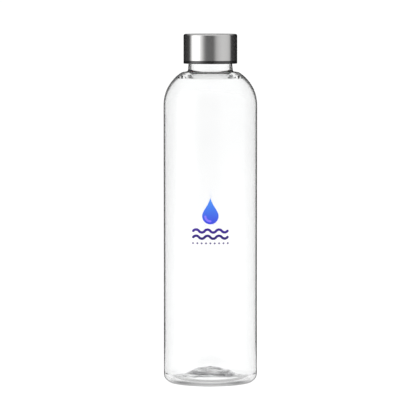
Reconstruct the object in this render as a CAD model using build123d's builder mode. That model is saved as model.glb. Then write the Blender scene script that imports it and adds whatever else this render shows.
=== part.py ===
"""Glass water bottle, one litre class, with a stainless steel screw cap.

Millimetres. +Z is up, the bottle's axis is Z, and the origin is the centre of the resting plane.
The printed mark faces -Y.
"""

from build123d import *
import math
import os

# ---- bottle body ----
BODY_R = 38.0  # outer radius of the cylinder
WALL = 1.6  # glass thickness of the cylinder and the shoulder
HEEL_R = 6.6  # outer rounding between the cylinder and the resting ring
SHOULDER_R = 31.07  # radius of the shoulder's arc, tangent to the cylinder
SHOULDER_Z = 226.0  # height where the shoulder's arc starts
LEDGE_Z = 252.6  # height of the outer edge of the ledge round the foot of the neck
LEDGE_RISE = 0.7  # how far the ledge rises from its edge to the neck

# ---- pushed-up base ----
PUNT_EDGE_R = 26.8  # inner edge of the resting ring, where the base turns up into the dome
PUNT_RISE = 9.2  # height of the dome's underside above the resting plane
PUNT_EDGE_ROUND = 0.6
FLOOR_Z = 2.2  # inside floor over the resting ring
FLOOR_R = 26.2  # where the inside floor turns up into the dome
DOME_TOP_Z = 12.2  # inside top of the dome
DOME_FOOT_ROUND = 2.0
INNER_HEEL_R = 6.6
BEAD_R = 2.4  # small bead of glass at the dome's centre
BEAD_RISE = 0.5
BEAD_SINK = 0.8

# ---- neck finish ----
NECK_FOOT_R = 18.3
NECK_WAIST_R = 17.7  # neck radius level with the cap's lower edge
NECK_R = 17.6  # cylindrical part of the neck, which is the thread's root
NECK_STRAIGHT_Z = 262.5  # the neck is cylindrical above this height
BORE_R = 15.5
FLARE_FOOT_Z = 247.0  # where the inside leaves the shoulder's arc and flares towards the bore
FLARE_TOP_Z = 253.2  # where the flare would meet the bore if their corner weren't rounded
FLARE_R = 40.0
LIP_Z = 280.3
LIP_ROUND = 0.95
LEDGE_ROUND = 0.5
NECK_FOOT_ROUND = 1.6
FLARE_FOOT_ROUND = 1.0
BORE_FOOT_ROUND = 3.5

# ---- screw thread, right-handed, one start ----
PITCH = 4.0
THREAD_SINK = 0.4  # how far a thread's root reaches into the wall that carries it
THREAD_START_Z = 268.6  # height of the middle of the bottle's thread at its lower end
THREAD_TURNS = 1.5
THREAD_CREST_R = 18.8
THREAD_ROOT_W = 2.4
THREAD_CREST_W = 1.0
CAP_THREAD_TURNS = 1.25
CAP_THREAD_DROP = 1.65  # how far the cap's thread lies below the bottle's
CAP_THREAD_CREST_R = 18.0
CAP_THREAD_ROOT_W = 1.8
CAP_THREAD_CREST_W = 0.8

# ---- cap ----
CAP_R = 21.8
CAP_BOTTOM_Z = 259.6
CAP_TOP_Z = 283.6
SHELL_T = 0.5
SHELL_TOP_ROUND = 1.5
FLANGE_H = 2.5  # plastic band under the steel
FLANGE_ROUND = 0.3
INSERT_BORE_R = 19.2
INSERT_WALL = 1.5
INSERT_ROOF_T = 1.2
INSERT_TOP_CHAMFER = 0.6
INSERT_MOUTH_CHAMFER = 0.8
RIB_COUNT = 24  # ribs that centre the liner in the shell
RIB_W = 1.2
RIB_SINK = 0.4  # how far the ribs reach into the liner's wall
BOSS_R = 14.6  # ring in the roof that keeps the gasket centred
BOSS_WALL = 1.2
BOSS_H = 1.0

# ---- gasket ----
GASKET_R = 18.9
GASKET_HOLE_R = 14.9
GASKET_PLAY = 0.05  # under the roof, and over the lip
GASKET_ROUND = 0.3

# ---- printed mark on the front of the cylinder ----
INK_T = 0.1
ART_DEPTH = 30.4  # distance from the axis of the flat artwork, which is pushed out through the cylinder
DROP_BULB_R = 6.6
DROP_BULB_Z = 138.2
DROP_TIP_Z = 153.1
DROP_SHOULDER_DEG = 25.0  # where the drop's sides leave its round bulb, above the horizontal
DROP_TIP_LEAN = 0.22  # sideways lean of the sides at the tip
GLINT_R = 4.1
GLINT_W = 1.6
GLINT_FROM_DEG = 185.0
GLINT_SWEEP_DEG = 85.0
MARK_W = 29.5  # width of the wave lines and of the row of dots
WAVE_LEVELS = (126.2, 121.2)
WAVE_COUNT = 3
WAVE_RISE = 1.15
WAVE_LINE_W = 2.0
DOTS_Z = 116.3
DOT_R = 0.75
DOT_COUNT = 9

os.makedirs("parts", exist_ok=True)


def keep(builder, name):
    """Labels a finished piece and writes its STEP file."""
    builder.part.label = name
    export_step(builder.part, f"parts/{name}.step")


# ---------------------------------------------------------------- screw threads


def thread_section(plane, reach, root_w, crest_w, lower_share):
    """A thread's section on a plane whose X points away from the axis, down to a share of its lower half."""
    with BuildSketch(plane) as section:
        with BuildLine():
            Polyline(
                (0, -lower_share * root_w / 2),
                (reach, -lower_share * crest_w / 2),
                (reach, crest_w / 2),
                (0, root_w / 2),
                close=True,
            )
        make_face()
    return section.sketch


def add_thread(root_r, crest_r, root_w, crest_w, start_z, turns):
    """Adds a helical thread with rounded ends to the part that is being built."""
    with BuildLine() as path:
        Helix(PITCH, PITCH * turns, root_r, center=(0, 0, start_z))
    helix = path.edges()[0]
    size = (crest_r - root_r, root_w, crest_w)
    for end, side in ((0, -1), (1, 1)):
        tip = helix @ end
        outward = Vector(tip.X, tip.Y, 0).normalized()
        across = Plane(origin=tip, x_dir=outward, z_dir=helix % end)
        revolve(thread_section(across, *size, 0), axis=Axis(tip, outward * side), revolution_arc=180)
    sweep(thread_section(across, *size, 1), path=helix, is_frenet=True)


# ---------------------------------------------------------------- glass bottle


def on_arc(radius, z):
    """Distance from the axis of a shoulder arc of this radius, at height z."""
    return BODY_R - SHOULDER_R + math.sqrt(radius**2 - (z - SHOULDER_Z) ** 2)


def arc_angle(radius, z):
    """Angle in degrees, above the shoulder's start, at which an arc of this radius reaches height z."""
    return math.degrees(math.asin((z - SHOULDER_Z) / radius))


inner_wall_r = BODY_R - WALL
inner_shoulder_r = SHOULDER_R - WALL
shoulder_centre = (BODY_R - SHOULDER_R, SHOULDER_Z)
heel_centre = (BODY_R - HEEL_R, HEEL_R)
inner_heel_centre = (inner_wall_r - INNER_HEEL_R, FLOOR_Z + INNER_HEEL_R)
ledge_corner = (on_arc(SHOULDER_R, LEDGE_Z), LEDGE_Z)
neck_foot = (NECK_FOOT_R, LEDGE_Z + LEDGE_RISE)
flare_foot = (on_arc(inner_shoulder_r, FLARE_FOOT_Z), FLARE_FOOT_Z)
flare_top = (BORE_R, FLARE_TOP_Z)
roundings = (
    ((PUNT_EDGE_R, 0), PUNT_EDGE_ROUND),
    ((FLOOR_R, FLOOR_Z), DOME_FOOT_ROUND),
    (ledge_corner, LEDGE_ROUND),
    (neck_foot, NECK_FOOT_ROUND),
    (flare_foot, FLARE_FOOT_ROUND),
    (flare_top, BORE_FOOT_ROUND),
    ((NECK_R, LIP_Z), LIP_ROUND),
    ((BORE_R, LIP_Z), LIP_ROUND),
)

with BuildPart() as glass_bottle:
    # outside from the base's centre to the lip, then inside back down to the dome's top
    with BuildSketch(Plane.XZ) as wall_section:
        with BuildLine():
            TangentArc((0, PUNT_RISE), (PUNT_EDGE_R, 0), tangent=(1, 0))
            Line((PUNT_EDGE_R, 0), (BODY_R - HEEL_R, 0))
            CenterArc(heel_centre, HEEL_R, -90, 90)
            Line((BODY_R, HEEL_R), (BODY_R, SHOULDER_Z))
            CenterArc(shoulder_centre, SHOULDER_R, 0, arc_angle(SHOULDER_R, LEDGE_Z))
            Polyline(
                ledge_corner,
                neck_foot,
                (NECK_WAIST_R, CAP_BOTTOM_Z),
                (NECK_R, NECK_STRAIGHT_Z),
                (NECK_R, LIP_Z),
                (BORE_R, LIP_Z),
                flare_top,
            )
            RadiusArc(flare_top, flare_foot, FLARE_R)
            CenterArc(shoulder_centre, inner_shoulder_r, 0, arc_angle(inner_shoulder_r, FLARE_FOOT_Z))
            Line((inner_wall_r, SHOULDER_Z), (inner_wall_r, inner_heel_centre[1]))
            CenterArc(inner_heel_centre, INNER_HEEL_R, -90, 90)
            Line((inner_heel_centre[0], FLOOR_Z), (FLOOR_R, FLOOR_Z))
            TangentArc((0, DOME_TOP_Z), (FLOOR_R, FLOOR_Z), tangent=(1, 0))
            Line((0, DOME_TOP_Z), (0, PUNT_RISE))
        make_face()
        for corner, radius in roundings:
            fillet(wall_section.vertices().sort_by_distance(corner)[0], radius)
    revolve(axis=Axis.Z)
    with BuildSketch(Plane.XZ):
        with BuildLine():
            TangentArc((0, DOME_TOP_Z + BEAD_RISE), (BEAD_R, DOME_TOP_Z - BEAD_SINK), tangent=(1, 0))
            Polyline(
                (BEAD_R, DOME_TOP_Z - BEAD_SINK),
                (0, DOME_TOP_Z - BEAD_SINK),
                (0, DOME_TOP_Z + BEAD_RISE),
            )
        make_face()
    revolve(axis=Axis.Z)
    add_thread(
        NECK_R - THREAD_SINK, THREAD_CREST_R, THREAD_ROOT_W, THREAD_CREST_W, THREAD_START_Z, THREAD_TURNS
    )
keep(glass_bottle, "glass_bottle")

# ---------------------------------------------------------------- cap

flange_top_z = CAP_BOTTOM_Z + FLANGE_H
shell_inner_r = CAP_R - SHELL_T
roof_top_z = CAP_TOP_Z - SHELL_T
roof_z = roof_top_z - INSERT_ROOF_T
insert_wall_r = INSERT_BORE_R + INSERT_WALL

# The drawn steel cup, which stands on the liner's flange.
with BuildPart() as cap_shell:
    with BuildSketch(Plane.XY.offset(flange_top_z)):
        Circle(CAP_R)
    extrude(amount=CAP_TOP_Z - flange_top_z)
    fillet(cap_shell.faces().sort_by(Axis.Z)[-1].edges(), SHELL_TOP_ROUND)
    offset(amount=-SHELL_T, openings=cap_shell.faces().sort_by(Axis.Z)[0])
keep(cap_shell, "cap_shell")

# The threaded liner: flange, wall, roof with a ring that centres the gasket, and outside ribs.
with BuildPart() as cap_insert:
    with BuildSketch(Plane.XZ) as liner_section:
        with BuildLine():
            Polyline(
                (INSERT_BORE_R, CAP_BOTTOM_Z),
                (CAP_R, CAP_BOTTOM_Z),
                (CAP_R, flange_top_z),
                (insert_wall_r, flange_top_z),
                (insert_wall_r, roof_top_z),
                (0, roof_top_z),
                (0, roof_z),
                (BOSS_R - BOSS_WALL, roof_z),
                (BOSS_R - BOSS_WALL, roof_z - BOSS_H),
                (BOSS_R, roof_z - BOSS_H),
                (BOSS_R, roof_z),
                (INSERT_BORE_R, roof_z),
                close=True,
            )
        make_face()
        corners = liner_section.vertices()
        chamfer(corners.sort_by_distance((insert_wall_r, roof_top_z))[0], INSERT_TOP_CHAMFER)
        chamfer(corners.sort_by_distance((INSERT_BORE_R, CAP_BOTTOM_Z))[0], INSERT_MOUTH_CHAMFER)
        fillet(corners.sort_by_distance((CAP_R, CAP_BOTTOM_Z))[0], FLANGE_ROUND)
    revolve(axis=Axis.Z)
    with BuildSketch(Plane.XY.offset(flange_top_z)):
        with PolarLocations(insert_wall_r, RIB_COUNT):
            Rectangle(2 * (CAP_R - insert_wall_r), RIB_W)
        Circle(shell_inner_r, mode=Mode.INTERSECT)
        Circle(insert_wall_r - RIB_SINK, mode=Mode.SUBTRACT)
    extrude(amount=roof_top_z - SHELL_TOP_ROUND - flange_top_z)
    add_thread(
        INSERT_BORE_R + THREAD_SINK,
        CAP_THREAD_CREST_R,
        CAP_THREAD_ROOT_W,
        CAP_THREAD_CREST_W,
        THREAD_START_Z - CAP_THREAD_DROP,
        CAP_THREAD_TURNS,
    )
keep(cap_insert, "cap_insert")

# The silicone ring between the liner's roof and the lip.
gasket_top_z = roof_z - GASKET_PLAY
with BuildPart() as cap_gasket:
    with BuildSketch(Plane.XY.offset(LIP_Z + GASKET_PLAY)):
        Circle(GASKET_R)
        Circle(GASKET_HOLE_R, mode=Mode.SUBTRACT)
    extrude(amount=gasket_top_z - LIP_Z - GASKET_PLAY)
    fillet(cap_gasket.edges().filter_by(GeomType.CIRCLE), GASKET_ROUND)
keep(cap_gasket, "cap_gasket")

# ---------------------------------------------------------------- printed mark

behind_ink = Plane.XZ.offset(ART_DEPTH)


def wrap_ink():
    """Turns the pending flat artwork into a thin layer that lies on the cylinder."""
    extrude(amount=BODY_R + 2 * INK_T - ART_DEPTH)
    with BuildSketch(Plane.XY) as skin:
        Circle(BODY_R + INK_T)
        Circle(BODY_R, mode=Mode.SUBTRACT)
    extrude(skin.sketch, amount=SHOULDER_Z, mode=Mode.INTERSECT)


def draw_glint(mode=Mode.ADD):
    """The curved stroke inside the drop."""
    with BuildLine() as stroke:
        CenterArc((0, DROP_BULB_Z), GLINT_R, GLINT_FROM_DEG, GLINT_SWEEP_DEG)
    SlotArc(stroke.edges()[0], GLINT_W, mode=mode)


with BuildPart() as print_drop:
    with BuildSketch(behind_ink):
        with BuildLine():
            bulb = CenterArc(
                (0, DROP_BULB_Z), DROP_BULB_R, 180 - DROP_SHOULDER_DEG, 180 + 2 * DROP_SHOULDER_DEG
            )
            right_side = Spline(
                bulb @ 1, (0, DROP_TIP_Z), tangents=(bulb % 1, (-DROP_TIP_LEAN, 1))
            )
            mirror(right_side, about=Plane.YZ)
        make_face()
        draw_glint(mode=Mode.SUBTRACT)
    wrap_ink()
keep(print_drop, "print_drop")

with BuildPart() as print_glint:
    with BuildSketch(behind_ink):
        draw_glint()
    wrap_ink()
keep(print_glint, "print_glint")

half_wave = (MARK_W - WAVE_LINE_W) / (2 * WAVE_COUNT)
with BuildPart() as print_waves:
    with BuildSketch(behind_ink):
        for level in WAVE_LEVELS:
            with BuildLine():
                for half in range(2 * WAVE_COUNT):
                    start_x = (half - WAVE_COUNT) * half_wave
                    rise = WAVE_RISE if half % 2 == 0 else -WAVE_RISE
                    ThreePointArc(
                        (start_x, level),
                        (start_x + half_wave / 2, level + rise),
                        (start_x + half_wave, level),
                    )
                offset(amount=WAVE_LINE_W / 2, mode=Mode.REPLACE)
            make_face()
    wrap_ink()
keep(print_waves, "print_waves")

dot_step = (MARK_W - 2 * DOT_R) / (DOT_COUNT - 1)
with BuildPart() as print_dots:
    with BuildSketch(behind_ink):
        with Locations((0, DOTS_Z)):
            with GridLocations(dot_step, dot_step, DOT_COUNT, 1):
                Circle(DOT_R)
    wrap_ink()
keep(print_dots, "print_dots")
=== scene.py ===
import math

import bmesh
import bpy
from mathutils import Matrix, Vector, noise


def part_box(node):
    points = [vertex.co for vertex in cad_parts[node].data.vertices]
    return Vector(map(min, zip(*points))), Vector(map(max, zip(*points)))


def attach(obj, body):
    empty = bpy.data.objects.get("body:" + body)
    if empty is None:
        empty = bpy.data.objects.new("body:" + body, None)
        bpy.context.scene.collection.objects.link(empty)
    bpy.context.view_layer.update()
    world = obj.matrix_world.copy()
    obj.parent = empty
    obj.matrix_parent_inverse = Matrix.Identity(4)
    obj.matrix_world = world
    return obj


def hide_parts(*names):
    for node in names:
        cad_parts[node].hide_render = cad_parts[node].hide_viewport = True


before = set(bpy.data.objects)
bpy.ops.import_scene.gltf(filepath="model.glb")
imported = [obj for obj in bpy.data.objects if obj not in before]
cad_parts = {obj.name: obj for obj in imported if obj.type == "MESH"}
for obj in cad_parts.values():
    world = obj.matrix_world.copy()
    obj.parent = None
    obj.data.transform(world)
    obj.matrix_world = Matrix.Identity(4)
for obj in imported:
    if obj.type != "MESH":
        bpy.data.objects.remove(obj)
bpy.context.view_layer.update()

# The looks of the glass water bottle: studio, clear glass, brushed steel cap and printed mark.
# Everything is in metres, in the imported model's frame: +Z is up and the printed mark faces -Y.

MM = 0.001
_, bottle_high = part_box("glass_bottle")
insert_low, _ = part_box("cap_insert")

# ---- camera: a long lens a little above the cap's height, aimed down at the middle of the bottle ----
CAMERA_AT = (-0.0003, -2.450, 0.318)
CAMERA_AIM = (-0.0003, 0.0, 0.1404)
CAMERA_LENS = 258.5
SENSOR = 36.0

# ---- the glass's outline, with the sizes that the CAD part has ----
BODY_R = bottle_high.x
WALL = 1.6 * MM
HEEL_R = 6.6 * MM  # rounding between the side and the resting ring
HEEL_FOOT_R = BODY_R - HEEL_R  # outer edge of the flat resting ring
INNER_HEEL_R = 6.6 * MM
SHOULDER_R = 31.07 * MM
SHOULDER_Z = 226.0 * MM
LEDGE_Z = 252.6 * MM  # the outer edge of the ledge round the foot of the neck
LEDGE_RISE = 0.7 * MM  # how far the ledge rises from its edge to the neck
LEDGE_ROUND = 0.5 * MM
PUNT_EDGE_R = 26.8 * MM  # inner edge of the resting ring, where the base turns up into the dome
PUNT_RISE = 9.2 * MM
PUNT_EDGE_ROUND = 0.6 * MM
FLOOR_Z = 2.2 * MM  # inside floor over the resting ring
FLOOR_R = 26.2 * MM
DOME_TOP_Z = 12.2 * MM
DOME_FOOT_ROUND = 2.0 * MM
BEAD_RISE = 0.5 * MM  # the small bead of glass at the dome's centre
BEAD_R = 2.2 * MM  # where it has blended into the dome; the CAD's bead is a plain arc that ends 2.4 mm out
NECK_FOOT_R = 18.3 * MM
NECK_FOOT_ROUND = 1.6 * MM
NECK_WAIST_R = 17.7 * MM  # level with the cap's lower edge
NECK_R = 17.6 * MM
NECK_STRAIGHT_Z = 262.5 * MM  # the neck is cylindrical above this height
BORE_R = 15.5 * MM
BORE_FOOT_ROUND = 3.5 * MM
FLARE_FOOT_Z = 247.0 * MM  # where the inside leaves the shoulder's arc and flares towards the bore
FLARE_TOP_Z = 253.2 * MM
FLARE_R = 40.0 * MM
FLARE_FOOT_ROUND = 1.0 * MM
LIP_Z = bottle_high.z
LIP_ROUND = 0.95 * MM
CAP_BOTTOM_Z = insert_low.z
THREAD_START_Z = 268.6 * MM
THREAD_TURNS = 1.5
THREAD_PITCH = 4.0 * MM
THREAD_RISE = 1.2 * MM
THREAD_HALF_ROOT = 1.05 * MM
THREAD_HALF_CREST = 0.45 * MM

# ---- how finely the outline is divided ----
GLASS_SEGMENTS = 240
ARC_STEP = math.radians(4)
SIDE_STEP = 3.0 * MM
THREAD_STEP = 0.25 * MM
LIP_STEP = 0.3 * MM
ON_AXIS = 1e-7  # a radius below this is one point on the axis
HAIR = 0.1 * MM  # keeps points that lie right on a limit on one side of it

# ---- unevenness of the glass: waves are per mm, and heights and the dent's depth are in mm ----
RING_WAVES = 0.045
RING_DRIFT = 2.6  # how far the noise moves on from centre to edge, which bends the marks into rings
RING_HEIGHT = 1.1
FINE_WAVES = 0.10
FINE_DRIFT = 6.0
FINE_HEIGHT = 0.35
DENT_DEPTH = 0.8
DENT_X, DENT_Y = 13 * MM, -9 * MM
DENT_HALF_X, DENT_HALF_Y = 5 * MM, 7 * MM
CENTRE_CALM = (0.05, 0.3)  # the marks grow from the dome's centre over these shares of its radius
EDGE_CALM = (0.78, 0.97)  # and fade out over these
INSIDE_SEED = 0.0
OUTSIDE_SEED = 7.0
OUTSIDE_MARKS = 0.7  # the marks of the underside, as a share of those inside
UNDERSIDE_Z = 0.3 * MM  # the underside is even below this, so that the bottle stands on a flat ring
WALL_UNEVEN = 0.10 * MM
WALL_WAVES_ROUND = 1.4  # radius of the circle that is taken through the noise
WALL_WAVES_UP = 22.0  # per metre

# ---- painted shade in the glass, which stands in for dark surroundings and the floor's shade seen through it, as shares of its darkest painted tint ----
NECK_FOOT_GREY = 0.18
NECK_FOOT_FULL = 2 * MM  # the neck's foot is fully grey to this height over the flare's foot
BASE_GREY = 0.54
STREAK_WAVES = 0.04  # per mm across
STREAK_WAVES_UP = 1.1  # per mm of height
BASE_SQUASH = 0.88  # the grey patch of the base is wider from left to right than from front to back
BASE_FADE = (0.80, 0.90)  # shares of the floor's radius over which the patch fades out
FACET_GREY = 0.46  # painted shade that darkens a facet at the front right of the base
FACET_CALM = 0.6  # how much the facet hides the streaks
FACET_X, FACET_Y = 13.0, -11.0  # in mm
FACET_HALF_X, FACET_HALF_Y = 6.5, 11.0
HEEL_GREY = 0.19
HEEL_GREY_FOOT = (0.1 * MM, 1.5 * MM)  # the heel's grey grows over these heights
HEEL_GREY_TOP = (0.7 * HEEL_R, HEEL_R)  # and fades out over these
CURL_GREY = 0.95  # painted dark curls, which stand in for dark studio surroundings seen in the heel, halfway between front, sides and back
CURL_TOP = (0.4 * MM, 1.6 * MM)  # the curls fade out over these heights

# ---- where the glass's painted dark edge starts, fitted to the photo ----
# The first four are Layer Weight's facing: 0 where the surface is seen face-on, 1 where it is seen edge-on.
# The shares are of the outer radius, and edge_start() works the facing out from them.
NO_EDGE = 2.0  # out of reach
HEEL_EDGE = 0.72
HEEL_TOP_EDGE = 0.80
LEDGE_EDGE = 0.76
BODY_EDGE_SHARE = 0.958
BASE_EDGE_SHARE = 0.98  # the edge is thinner low on the body
SHOULDER_EDGE_SHARE = 0.93  # and wider just under the ledge, where the glass is thicker
NECK_EDGE_R = 15.0 * MM  # the neck's edge starts at this radius
HEEL_EDGE_RISE = (0.3 * HEEL_R, 0.9 * HEEL_R)  # heights from HEEL_EDGE to HEEL_TOP_EDGE
BASE_EDGE_FADE = (12 * MM, 36 * MM)  # heights from BASE_EDGE_SHARE to BODY_EDGE_SHARE
LEDGE_MARGIN = 0.05 * MM  # the shoulder's edge reaches this far over LEDGE_Z


def add_camera():
    data = bpy.data.cameras.new("camera")
    data.lens = CAMERA_LENS
    data.sensor_width = SENSOR
    camera = bpy.data.objects.new("camera", data)
    bpy.context.scene.collection.objects.link(camera)
    camera.location = CAMERA_AT
    look = Vector(CAMERA_AIM) - Vector(CAMERA_AT)
    camera.rotation_euler = look.to_track_quat("-Z", "Y").to_euler()
    bpy.context.scene.camera = camera


# ---------------------------------------------------------------- node helpers


class Nodes:
    """Adds nodes to a tree and links them."""

    def __init__(self, tree):
        self.tree = tree
        tree.nodes.clear()

    def add(self, kind, inputs=None, **settings):
        """A node with its settings, and its inputs set to values or linked from other nodes' sockets."""
        node = self.tree.nodes.new(kind)
        for name, value in settings.items():
            setattr(node, name, value)
        for key, value in (inputs or {}).items():
            if isinstance(value, bpy.types.NodeSocket):
                self.tree.links.new(value, node.inputs[key])
            else:
                node.inputs[key].default_value = value
        return node

    def math(self, operation, *values):
        return self.add("ShaderNodeMath", dict(enumerate(values)), operation=operation).outputs[0]

    def spread(self, value, start, end, low=0.0, high=1.0):
        """A value that runs from start to end, spread over low to high."""
        inputs = {"Value": value, "From Min": start, "From Max": end, "To Min": low, "To Max": high}
        return self.add("ShaderNodeMapRange", inputs).outputs[0]

    def ramp(self, factor, stops):
        """A colour ramp: stops are (position, grey or colour)."""
        node = self.add("ShaderNodeValToRGB", {"Fac": factor})
        ramp = node.color_ramp
        while len(ramp.elements) < len(stops):
            ramp.elements.new(1.0)
        for element, (position, colour) in zip(ramp.elements, stops):
            element.position = position
            element.color = (colour, colour, colour, 1) if isinstance(colour, float) else (*colour, 1)
        return node.outputs["Color"]

    def mix(self, share, first, second):
        """A colour between the first, a socket, and the second, a colour."""
        node = self.add("ShaderNodeMix", {0: share, 6: first, 7: (*second, 1)}, data_type="RGBA")
        return node.outputs[2]

    def place(self):
        """Where on the object a point is, in metres."""
        return self.add("ShaderNodeTexCoord").outputs["Object"]

    def grain(self, place, scale, detail=2.0):
        """The grey of a noise, from 0 to 1."""
        inputs = {"Vector": place, "Scale": scale, "Detail": detail}
        return self.add("ShaderNodeTexNoise", inputs).outputs["Fac"]

    def bump(self, height, strength, distance):
        inputs = {"Height": height, "Strength": strength, "Distance": distance}
        return self.add("ShaderNodeBump", inputs).outputs[0]

    def surface(self, inputs):
        """Finishes a material with one principled shader that has these inputs."""
        shader = self.add("ShaderNodeBsdfPrincipled", inputs)
        self.add("ShaderNodeOutputMaterial", {"Surface": shader.outputs[0]})


def new_material(name):
    """An empty node material, and what fills it."""
    material = bpy.data.materials.new(name)
    material.use_nodes = True
    return material, Nodes(material.node_tree)


# ---------------------------------------------------------------- studio

WHITE = (1.0, 1.0, 1.0, 1.0)
BACKDROP = 1.05  # a little over white, as on a high-key product table
FILL = 1.17  # the light that falls on the floor and on matt surfaces
FLOOR_RADIUS = 14.0
FLOOR_NEAR = 0.6  # the floor's colour starts to darken this far from the bottle, a painted fall-off of light
FLOOR_FAR = 4.0
FLOOR_TONE_NEAR = 0.965
FLOOR_TONE_FAR = 0.905
PAPER_GRAIN = 900.0
PAPER_SHADE = 0.01
# the shade under the bottle: (share of CONTACT_REACH from its axis, brightness)
CONTACT_REACH = 50 * MM
CONTACT_SHADE = ((0.40, 1.0), (0.55, 0.42), (0.64, 0.42), (0.70, 1.0))
SOFTBOX = 2.0
OVERHEAD = 0.9
OVERHEAD_FROM, OVERHEAD_FULL = 0.38, 0.70  # sines of the angle above the horizon
TABLE = 0.9
TABLE_FROM, TABLE_FULL = -0.12, -0.40
LIGHT_BOUNCES = 48  # light runs a long way inside the thick glass of the shoulder and the base
# what the steel and the glass mirror, all round the horizon: the direction in degrees from the front,
# which is negative to the left, and the brightness there
STUDIO_BANDS = (
    (-180, 0.02),
    (-107, 0.02),
    (-100, 0.12),
    (-94, 0.50),
    (-88, 1.30),
    (-80, SOFTBOX),
    (-50, SOFTBOX),
    (-43, 1.35),
    (-34, 0.79),
    (-25, 0.30),
    (-18, 0.12),
    (-8, 0.08),
    (12, 0.08),
    (18, 0.26),
    (26, 0.58),
    (38, 0.78),
    (55, 0.88),
    (75, 0.84),
    (90, 0.70),
    (95, 0.42),
    (99, 0.06),
    (106, 0.01),
    (180, 0.01),
)


def light_studio():
    """A world that is plain white to the eye and through the glass, and banded where it is mirrored."""
    world = bpy.data.worlds.new("studio")
    bpy.context.scene.world = world
    world.use_nodes = True
    n = Nodes(world.node_tree)
    path = n.add("ShaderNodeLightPath")
    direction = n.add("ShaderNodeSeparateXYZ", {0: n.add("ShaderNodeTexCoord").outputs["Generated"]})
    behind = n.math("MULTIPLY", direction.outputs["Y"], -1.0)
    turn = n.math("ARCTAN2", direction.outputs["X"], behind)
    share = n.math("MULTIPLY_ADD", turn, 0.5 / math.pi, 0.5)
    bands = n.ramp(share, [(0.5 + degrees / 360, tone) for degrees, tone in STUDIO_BANDS])
    strength = n.math("MULTIPLY_ADD", path.outputs["Is Diffuse Ray"], FILL - BACKDROP, BACKDROP)
    soft = n.add("ShaderNodeBackground", {"Color": WHITE, "Strength": strength})
    overhead = n.spread(direction.outputs["Z"], OVERHEAD_FROM, OVERHEAD_FULL)
    below = n.spread(direction.outputs["Z"], TABLE_FROM, TABLE_FULL)
    over = n.mix(overhead, bands, (OVERHEAD, OVERHEAD, OVERHEAD))
    seen = n.mix(below, over, (TABLE, TABLE, TABLE))
    mirrored = n.add("ShaderNodeBackground", {"Color": seen, "Strength": 1.0})
    # a ray that passes through glass also counts as glossy, so it is taken off
    is_reflected = n.math("SUBTRACT", path.outputs["Is Glossy Ray"], path.outputs["Is Transmission Ray"])
    mix = n.add("ShaderNodeMixShader", {0: is_reflected, 1: soft.outputs[0], 2: mirrored.outputs[0]})
    n.add("ShaderNodeOutputWorld", {"Surface": mix.outputs[0]})


def add_floor():
    """A round sheet of pale paper, with a soft shade painted where the bottle stands and a painted fall-off
    of light away from it.
    """
    mesh = bpy.data.meshes.new("floor")
    shape = bmesh.new()
    bmesh.ops.create_circle(shape, cap_ends=True, radius=FLOOR_RADIUS, segments=96)
    shape.to_mesh(mesh)
    shape.free()
    floor = bpy.data.objects.new("floor", mesh)
    bpy.context.scene.collection.objects.link(floor)
    floor.visible_glossy = False
    material, n = new_material("floor_paper")
    place = n.place()
    grain = n.grain(place, PAPER_GRAIN)
    far = n.add("ShaderNodeVectorMath", {0: place}, operation="LENGTH").outputs["Value"]
    # painted fall-off of light: the paper's colour darkens from FLOOR_NEAR out to FLOOR_FAR
    fade = n.spread(far, FLOOR_NEAR, FLOOR_FAR, FLOOR_TONE_NEAR, FLOOR_TONE_FAR)
    contact = n.ramp(n.math("MULTIPLY", far, 1 / CONTACT_REACH), CONTACT_SHADE)
    pale = n.math("MULTIPLY_ADD", grain, PAPER_SHADE, n.math("MULTIPLY", fade, contact))
    n.surface({"Base Color": pale, "Roughness": 0.9, "Specular IOR Level": 0.0})
    mesh.materials.append(material)


# ---------------------------------------------------------------- materials

# A surface of the glass passes the square root of its base colour.
GLASS_CLEAR = (0.970, 0.974, 0.974)
GLASS_CLEARER = (0.977, 0.980, 0.980)
GLASS_PAINTED_SHADE = (0.05, 0.05, 0.055)  # the darkest tint of the painted shade in the glass
GLASS_RIPPLE = 45.0  # waves per metre
# how the painted dark edge darkens the tint past the edge's start, which is at 0.5: (position, tint)
GLASS_EDGE = (
    (0.0, 1.0),
    (0.06, 0.97),
    (0.30, 0.93),
    (0.45, 0.86),
    (0.50, 0.70),
    (0.57, 0.16),
    (0.64, 0.05),
    (1.0, 0.03),
)
EDGE_SPREAD = 1.5  # how much of GLASS_EDGE a rise of 1 in facing runs over

# the scratches of brushed steel, which are much longer round the cap than across it
SCRATCHES_ROUND = 1.2  # per radian
SCRATCHES_UP = 16000.0  # per metre, like the next
SCRATCHES_OUT = 9000.0

# colours, as (dark, light) of a material's grain or (foot, top) of an ink
STEEL = ((0.615, 0.61, 0.605), (0.645, 0.64, 0.635))
BLACK = ((0.006, 0.006, 0.0065), (0.011, 0.011, 0.012))
SILICONE = ((0.74, 0.75, 0.74), (0.80, 0.81, 0.80))
INK_BLUE = ((0.035, 0.05, 0.72), (0.05, 0.28, 0.90))
INK_VIOLET = ((0.22, 0.14, 0.95), (0.30, 0.30, 1.0))
INK_INDIGO = ((0.016, 0.0, 0.16), (0.035, 0.0, 0.30))
INK_GREY = ((0.10, 0.07, 0.22), (0.16, 0.13, 0.30))
PLASTIC_GRAIN = 700.0
SILICONE_GRAIN = 400.0
INK_GRAIN = 1500.0
INK_MOTTLE = 0.15  # how much the grain moves an ink's colour between foot and top


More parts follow.
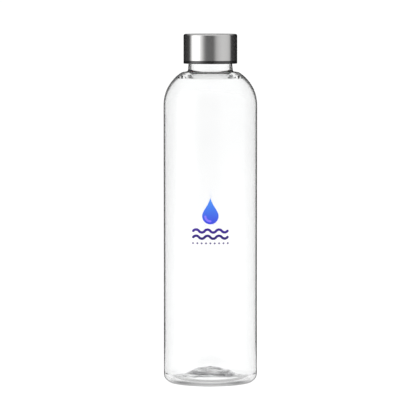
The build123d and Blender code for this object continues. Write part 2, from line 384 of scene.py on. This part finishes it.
def clear_glass():
    """Clear glass: where the eye looks along the wall and not through it, the edge is painted dark,
    standing in for dark surroundings seen through it.
    """
    material, n = new_material("clear_glass")
    # painted dark edge: the glass's colour darkens as its surface is seen more edge-on
    facing = n.add("ShaderNodeLayerWeight", {"Blend": 0.5}).outputs["Facing"]
    edge_from = n.add("ShaderNodeAttribute", attribute_name="edge_from").outputs["Fac"]
    past_edge = n.math("MULTIPLY_ADD", n.math("SUBTRACT", facing, edge_from), EDGE_SPREAD, 0.5)
    shade = n.ramp(past_edge, GLASS_EDGE)
    ripple = n.grain(n.place(), GLASS_RIPPLE, 1.0)
    clear = n.ramp(ripple, ((0.3, GLASS_CLEAR), (0.7, GLASS_CLEARER)))
    edged = n.add("ShaderNodeVectorMath", {0: shade, 1: clear}, operation="MULTIPLY").outputs[0]
    # painted shade, per point of the glass: it darkens the colour where dark surroundings and the floor's
    # shade show through
    painted_shade = n.add("ShaderNodeAttribute", attribute_name="painted_shade").outputs["Fac"]
    n.surface({
        "Base Color": n.mix(painted_shade, edged, GLASS_PAINTED_SHADE),
        "Roughness": 0.0,
        "IOR": 1.5,
        "Transmission Weight": 1.0,
        "Normal": n.bump(ripple, 0.02, 1.0 * MM),
    })
    return material


def brushed_steel():
    """Steel brushed round the axis: fine scratches follow the circumference on the side and on the top."""
    material, n = new_material("brushed_steel")
    at = n.add("ShaderNodeSeparateXYZ", {0: n.place()})
    x, y, z = (at.outputs[i] for i in range(3))
    angle = n.math("ARCTAN2", y, x)
    radius = n.math("SQRT", n.math("ADD", n.math("MULTIPLY", x, x), n.math("MULTIPLY", y, y)))
    stretched = {
        0: n.math("MULTIPLY", angle, SCRATCHES_ROUND),
        1: n.math("MULTIPLY", z, SCRATCHES_UP),
        2: n.math("MULTIPLY", radius, SCRATCHES_OUT),
    }
    scratches = n.grain(n.add("ShaderNodeCombineXYZ", stretched).outputs[0], 1.0, 3.0)
    dark, light = STEEL
    n.surface({
        "Base Color": n.ramp(scratches, ((0.25, dark), (0.75, light))),
        "Metallic": 1.0,
        "Roughness": n.spread(scratches, 0.0, 1.0, 0.18, 0.27),
        "Anisotropic": 0.85,
        "Anisotropic Rotation": 0.25,
        "Normal": n.bump(scratches, 0.04, 0.05 * MM),
        "Tangent": n.add("ShaderNodeTangent", direction_type="RADIAL", axis="Z").outputs[0],
    })
    return material


def moulded(name, colours, roughness, grain, subsurface=0.0, shine=0.5):
    """Moulded plastic or silicone: a faint grain in its colour, gloss and surface."""
    material, n = new_material(name)
    fleck = n.grain(n.place(), grain, 3.0)
    dark, light = colours
    n.surface({
        "Base Color": n.ramp(fleck, ((0.3, dark), (0.7, light))),
        "Roughness": n.spread(fleck, 0.0, 1.0, *roughness),
        "Specular IOR Level": shine,
        "Subsurface Weight": subsurface,
        "Subsurface Scale": 2 * MM,
        "Normal": n.bump(fleck, 0.08, 0.1 * MM),
    })
    return material


def ink(name, colours, box):
    """Screen-printed ink whose colour runs from the foot of the box to its top."""
    material, n = new_material(name)
    place = n.place()
    foot, top = colours
    z = n.add("ShaderNodeSeparateXYZ", {0: place}).outputs[2]
    grain = n.grain(place, INK_GRAIN)
    up = n.spread(z, box[0].z, box[1].z)
    mottled = n.math("MULTIPLY_ADD", grain, INK_MOTTLE, n.math("SUBTRACT", up, INK_MOTTLE / 2))
    n.surface({
        "Base Color": n.ramp(mottled, ((0.0, foot), (1.0, top))),
        "Roughness": n.spread(grain, 0.0, 1.0, 0.35, 0.5),
    })
    return material


def dress(node, material):
    """Gives a CAD node its finished material."""
    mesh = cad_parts[node].data
    mesh.materials.clear()
    mesh.materials.append(material)


def dress_cap():
    """The steel shell, the black liner, whose flange shows below the steel, and the soft gasket."""
    dress("cap_shell", brushed_steel())
    dress("cap_insert", moulded("black_plastic", BLACK, (0.2, 0.32), PLASTIC_GRAIN, shine=0.95))
    dress("cap_gasket", moulded("silicone", SILICONE, (0.45, 0.6), SILICONE_GRAIN, subsurface=0.4))


def dress_print():
    """The printed mark: the drop with its glint, the waves and the dots."""
    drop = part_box("print_drop")
    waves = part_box("print_waves")
    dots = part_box("print_dots")
    dress("print_drop", ink("ink_blue", INK_BLUE, drop))
    dress("print_glint", ink("ink_violet", INK_VIOLET, drop))
    dress("print_waves", ink("ink_indigo", INK_INDIGO, waves))
    dress("print_dots", ink("ink_grey", INK_GREY, dots))


# ---------------------------------------------------------------- glass mesh


def arc(cx, cz, radius, start, end):
    """Points of an arc about (cx, cz) between two angles in degrees, ends included."""
    a, b = math.radians(start), math.radians(end)
    steps = max(4, round(abs(b - a) / ARC_STEP))
    angles = (a + (b - a) * i / steps for i in range(steps + 1))
    return [(cx + radius * math.cos(t), cz + radius * math.sin(t)) for t in angles]


def line(start, end, step=1.0 * MM):
    """Points along a straight run, ends included."""
    length = math.dist(start, end)
    steps = max(1, round(length / step))
    return [
        (start[0] + (end[0] - start[0]) * i / steps, start[1] + (end[1] - start[1]) * i / steps)
        for i in range(steps + 1)
    ]


def bow(start, end, radius, steps=16):
    """Points of an arc of this radius between two points, which bulges to the right of the way there."""
    half = (Vector(end) - Vector(start)) / 2
    right = Vector((half.y, -half.x)).normalized()
    centre = Vector(start) + half - right * math.sqrt(radius**2 - half.length_squared)
    sweep = 2 * math.asin(half.length / radius)
    first = math.atan2(start[1] - centre.y, start[0] - centre.x)
    angles = (first + sweep * i / steps for i in range(steps + 1))
    return [(centre.x + radius * math.cos(t), centre.y + radius * math.sin(t)) for t in angles]


def dome(edge_r, edge_z, top_z, steps=44):
    """The arc from the axis at top_z, level there, down to the edge."""
    rise = top_z - edge_z
    radius = (edge_r**2 + rise**2) / (2 * rise)
    end = math.asin(edge_r / radius)
    return [
        (radius * math.sin(end * i / steps), top_z - radius * (1 - math.cos(end * i / steps)))
        for i in range(steps + 1)
    ]


def trim(points, length):
    """Cuts a length off the end of a run of points."""
    points = list(points)
    while length > 0 and len(points) > 1:
        (x0, z0), (x1, z1) = points[-2], points[-1]
        step = math.dist(points[-2], points[-1])
        if step > length:
            share = 1 - length / step
            points[-1] = (x0 + (x1 - x0) * share, z0 + (z1 - z0) * share)
            return points
        points.pop()
        length -= step
    return points


def join(runs):
    """Joins runs of points, each given as (points, rounding where the next run starts)."""
    outline = list(runs[0][0])
    for (_, radius), (points, _) in zip(runs, runs[1:]):
        points = list(points)
        if radius:
            corner = Vector(points[0])
            before = (corner - Vector(outline[-2])).normalized()
            after = (Vector(points[1]) - corner).normalized()
            cut = radius * math.tan(before.angle(after) / 2)
            outline = trim(outline, cut)
            points = trim(points[::-1], cut)[::-1]
            start, end = Vector(outline[-1]), Vector(points[0])
            steps = max(3, round(before.angle(after) / ARC_STEP))
            for i in range(1, steps):
                t = i / steps
                outline.append(tuple(start.lerp(corner, t).lerp(corner.lerp(end, t), t)))
        outline += points if radius else points[1:]
    return outline


def shoulder(radius, top_z):
    """The shoulder's arc of this radius, from the cylinder up to top_z."""
    end = math.degrees(math.asin((top_z - SHOULDER_Z) / radius))
    return arc(BODY_R - SHOULDER_R, SHOULDER_Z, radius, 0, end)


def glass_outline():
    """(outside, inside) of the glass, each from the axis at the base up to the middle of the lip."""
    outer_shoulder = shoulder(SHOULDER_R, LEDGE_Z)
    neck_foot = (NECK_FOOT_R, LEDGE_Z + LEDGE_RISE)
    neck_waist = (NECK_WAIST_R, CAP_BOTTOM_Z)
    thread_foot = (NECK_R, NECK_STRAIGHT_Z)
    middle_r = (NECK_R + BORE_R) / 2
    outside = join([
        (dome(PUNT_EDGE_R, 0.0, PUNT_RISE), PUNT_EDGE_ROUND),
        (line((PUNT_EDGE_R, 0), (HEEL_FOOT_R, 0)), 0),
        (arc(HEEL_FOOT_R, HEEL_R, HEEL_R, -90, 0), 0),
        (line((BODY_R, HEEL_R), (BODY_R, SHOULDER_Z), SIDE_STEP), 0),
        (outer_shoulder, LEDGE_ROUND),
        (line(outer_shoulder[-1], neck_foot), NECK_FOOT_ROUND),
        (line(neck_foot, neck_waist), 0),
        (line(neck_waist, thread_foot), 0),
        (line(thread_foot, (NECK_R, LIP_Z), THREAD_STEP), LIP_ROUND),
        (line((NECK_R, LIP_Z), (middle_r, LIP_Z), LIP_STEP), 0),
    ])
    inner_shoulder = shoulder(SHOULDER_R - WALL, FLARE_FOOT_Z)
    flare_top = (BORE_R, FLARE_TOP_Z)
    inner_wall = BODY_R - WALL
    heel = (inner_wall - INNER_HEEL_R, FLOOR_Z + INNER_HEEL_R)
    inside = join([
        (dome(FLOOR_R, FLOOR_Z, DOME_TOP_Z), DOME_FOOT_ROUND),
        (line((FLOOR_R, FLOOR_Z), (heel[0], FLOOR_Z)), 0),
        (arc(heel[0], heel[1], INNER_HEEL_R, -90, 0), 0),
        (line((inner_wall, heel[1]), (inner_wall, SHOULDER_Z), SIDE_STEP), 0),
        (inner_shoulder, FLARE_FOOT_ROUND),
        (bow(inner_shoulder[-1], flare_top, FLARE_R), BORE_FOOT_ROUND),
        (line(flare_top, (BORE_R, LIP_Z)), LIP_ROUND),
        (line((BORE_R, LIP_Z), (middle_r, LIP_Z), LIP_STEP), 0),
    ])
    return outside, inside


def smooth(low, high, value):
    """0 below low, 1 above high and a soft step between them."""
    t = min(1.0, max(0.0, (value - low) / (high - low)))
    return t * t * (3 - 2 * t)


def thread_height(angle, z):
    """How far the screw thread stands out of the neck at this angle and height."""
    best = 0.0
    for lap in range(math.ceil(THREAD_TURNS)):
        turns = angle / math.tau + lap
        past = max(0.0, turns - THREAD_TURNS) * math.tau * NECK_R
        middle = THREAD_START_Z + THREAD_PITCH * min(THREAD_TURNS, turns)
        off = math.hypot(z - middle, past)
        best = max(best, 1 - smooth(THREAD_HALF_CREST, THREAD_HALF_ROOT, off))
    return best * THREAD_RISE


def flow_marks(r, angle, seed):
    """Height of the uneven glass of the pushed-up base: broad wandering rings and one shallow dent."""
    share = r / PUNT_EDGE_R
    x, y = r * math.cos(angle), r * math.sin(angle)
    rings = noise.noise(Vector((x / MM * RING_WAVES, y / MM * RING_WAVES, seed + share * RING_DRIFT)))
    fine = noise.noise(Vector((x / MM * FINE_WAVES, y / MM * FINE_WAVES, seed + share * FINE_DRIFT)))
    dent = math.exp(-(((x - DENT_X) / DENT_HALF_X) ** 2) - (((y - DENT_Y) / DENT_HALF_Y) ** 2))
    fade = smooth(*CENTRE_CALM, share) * (1 - smooth(*EDGE_CALM, share))
    return (RING_HEIGHT * rings + FINE_HEIGHT * fine - DENT_DEPTH * dent) * fade * MM


def outside_point(r, z, angle):
    """A point of the outer surface, with the screw thread and the flow marks of the pushed-up base."""
    if r > NECK_R - HAIR and z > NECK_STRAIGHT_Z:
        r += thread_height(angle, z)
    if r < PUNT_EDGE_R and UNDERSIDE_Z < z < PUNT_RISE + MM:
        z += flow_marks(r, angle, OUTSIDE_SEED) * OUTSIDE_MARKS
    return (r * math.cos(angle), r * math.sin(angle), z)


def inside_point(r, z, angle):
    """A point of the inner surface, whose wall is slightly uneven as blown glass is."""
    if z < DOME_TOP_Z + MM and r < FLOOR_R:
        z += flow_marks(r, angle, INSIDE_SEED)
        z += BEAD_RISE * (1 - smooth(0.0, BEAD_R, r))
    elif INNER_HEEL_R + FLOOR_Z < z < SHOULDER_Z:
        x, y = math.cos(angle) * WALL_WAVES_ROUND, math.sin(angle) * WALL_WAVES_ROUND
        r += noise.noise(Vector((x, y, z * WALL_WAVES_UP))) * WALL_UNEVEN
    return (r * math.cos(angle), r * math.sin(angle), z)


def inside_shade(r, z, angle):
    """How much painted shade darkens the glass at the neck's foot and, in streaks, in the pushed-up base,
    from 0 to 1.
    """
    if z > FLARE_FOOT_Z + HAIR and r > BORE_R + MM:
        return NECK_FOOT_GREY * (1 - smooth(FLARE_FOOT_Z + NECK_FOOT_FULL, FLARE_TOP_Z, z))
    if z > DOME_TOP_Z + MM or r > FLOOR_R:
        return 0.0
    x, y = r * math.cos(angle) / MM, r * math.sin(angle) / MM
    streaks = noise.noise(Vector((x * STREAK_WAVES, y * STREAK_WAVES, z / MM * STREAK_WAVES_UP)))
    facet = math.exp(-(((x - FACET_X) / FACET_HALF_X) ** 4) - ((y - FACET_Y) / FACET_HALF_Y) ** 4)
    grey = BASE_GREY + streaks * (1 - FACET_CALM * facet) + FACET_GREY * facet
    fade = 1 - smooth(*BASE_FADE, math.hypot(BASE_SQUASH * x, y) * MM / FLOOR_R)
    return min(1.0, max(0.0, grey)) * fade


def heel_shade(r, z, angle):
    """The same painted shade for the heel, which is clearest at the resting ring, apart from four painted
    dark curls.
    """
    if r < PUNT_EDGE_R:
        return 0.0
    body = HEEL_GREY * smooth(*HEEL_GREY_FOOT, z) * (1 - smooth(*HEEL_GREY_TOP, z))
    curl = CURL_GREY * math.sin(2 * angle) ** 2 * (1 - smooth(*CURL_TOP, z))
    return body + curl * smooth(HEEL_FOOT_R - MM, HEEL_FOOT_R + MM, r)


def edge_start(r, z):
    """How edge-on the outer surface has to be seen at this point before the painted dark edge starts."""
    if z < HEEL_R:
        edge = HEEL_EDGE + (HEEL_TOP_EDGE - HEEL_EDGE) * smooth(*HEEL_EDGE_RISE, z)
        return edge if r > HEEL_FOOT_R + MM else NO_EDGE
    if z < LEDGE_Z + LEDGE_MARGIN and r > NECK_FOOT_R + NECK_FOOT_ROUND:
        share = BODY_EDGE_SHARE
        share += (SHOULDER_EDGE_SHARE - BODY_EDGE_SHARE) * smooth(SHOULDER_Z, LEDGE_Z, z)
        share += (BASE_EDGE_SHARE - BODY_EDGE_SHARE) * (1 - smooth(*BASE_EDGE_FADE, z))
    elif r > NECK_FOOT_R + 0.5 * NECK_FOOT_ROUND:
        return LEDGE_EDGE
    else:
        share = NECK_EDGE_R / max(r, NECK_R)
    return 1 - math.sqrt(1 - share**2)


def build_bottle():
    """The whole bottle as one closed glass shell, turned from its outline."""
    outside, inside = glass_outline()
    path = [(p, outside_point, edge_start(*p)) for p in outside]
    path += [(p, inside_point, NO_EDGE) for p in inside[-2::-1]]
    shape = bmesh.new()
    mark = shape.verts.layers.float.new("edge_from")
    painted_shade = shape.verts.layers.float.new("painted_shade")
    rings = []
    for (r, z), place, dark_from in path:
        angles = [0.0] if r < ON_AXIS else [math.tau * i / GLASS_SEGMENTS for i in range(GLASS_SEGMENTS)]
        ring = [shape.verts.new(place(r, z, a)) for a in angles]
        for vert, angle in zip(ring, angles):
            vert[mark] = dark_from
            # painted shade, which stands in for dark surroundings seen through the glass
            vert[painted_shade] = inside_shade(r, z, angle) if place is inside_point else heel_shade(r, z, angle)
        rings.append(ring)
    for low, high in zip(rings, rings[1:]):
        for i in range(GLASS_SEGMENTS):
            j = (i + 1) % GLASS_SEGMENTS
            corners = [low[i % len(low)], low[j % len(low)], high[j % len(high)], high[i % len(high)]]
            shape.faces.new(list(dict.fromkeys(corners)))
    bmesh.ops.recalc_face_normals(shape, faces=shape.faces)
    mesh = bpy.data.meshes.new("bottle_glass")
    shape.to_mesh(mesh)
    shape.free()
    mesh.shade_smooth()
    mesh.materials.append(clear_glass())
    bottle = bpy.data.objects.new("bottle_glass", mesh)
    bpy.context.scene.collection.objects.link(bottle)
    # it casts no shadow: the shade under it is painted on the floor
    bottle.visible_diffuse = False
    bottle.visible_shadow = False
    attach(bottle, "bottle")
    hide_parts("glass_bottle")


def set_colours_and_light_paths():
    """Colours as they are, and enough bounces for the glass where it is thickest."""
    scene = bpy.context.scene
    scene.view_settings.view_transform = "Standard"
    scene.cycles.max_bounces = LIGHT_BOUNCES
    scene.cycles.transmission_bounces = LIGHT_BOUNCES
    scene.cycles.glossy_bounces = LIGHT_BOUNCES


add_camera()
light_studio()
add_floor()
build_bottle()
dress_cap()
dress_print()
set_colours_and_light_paths()
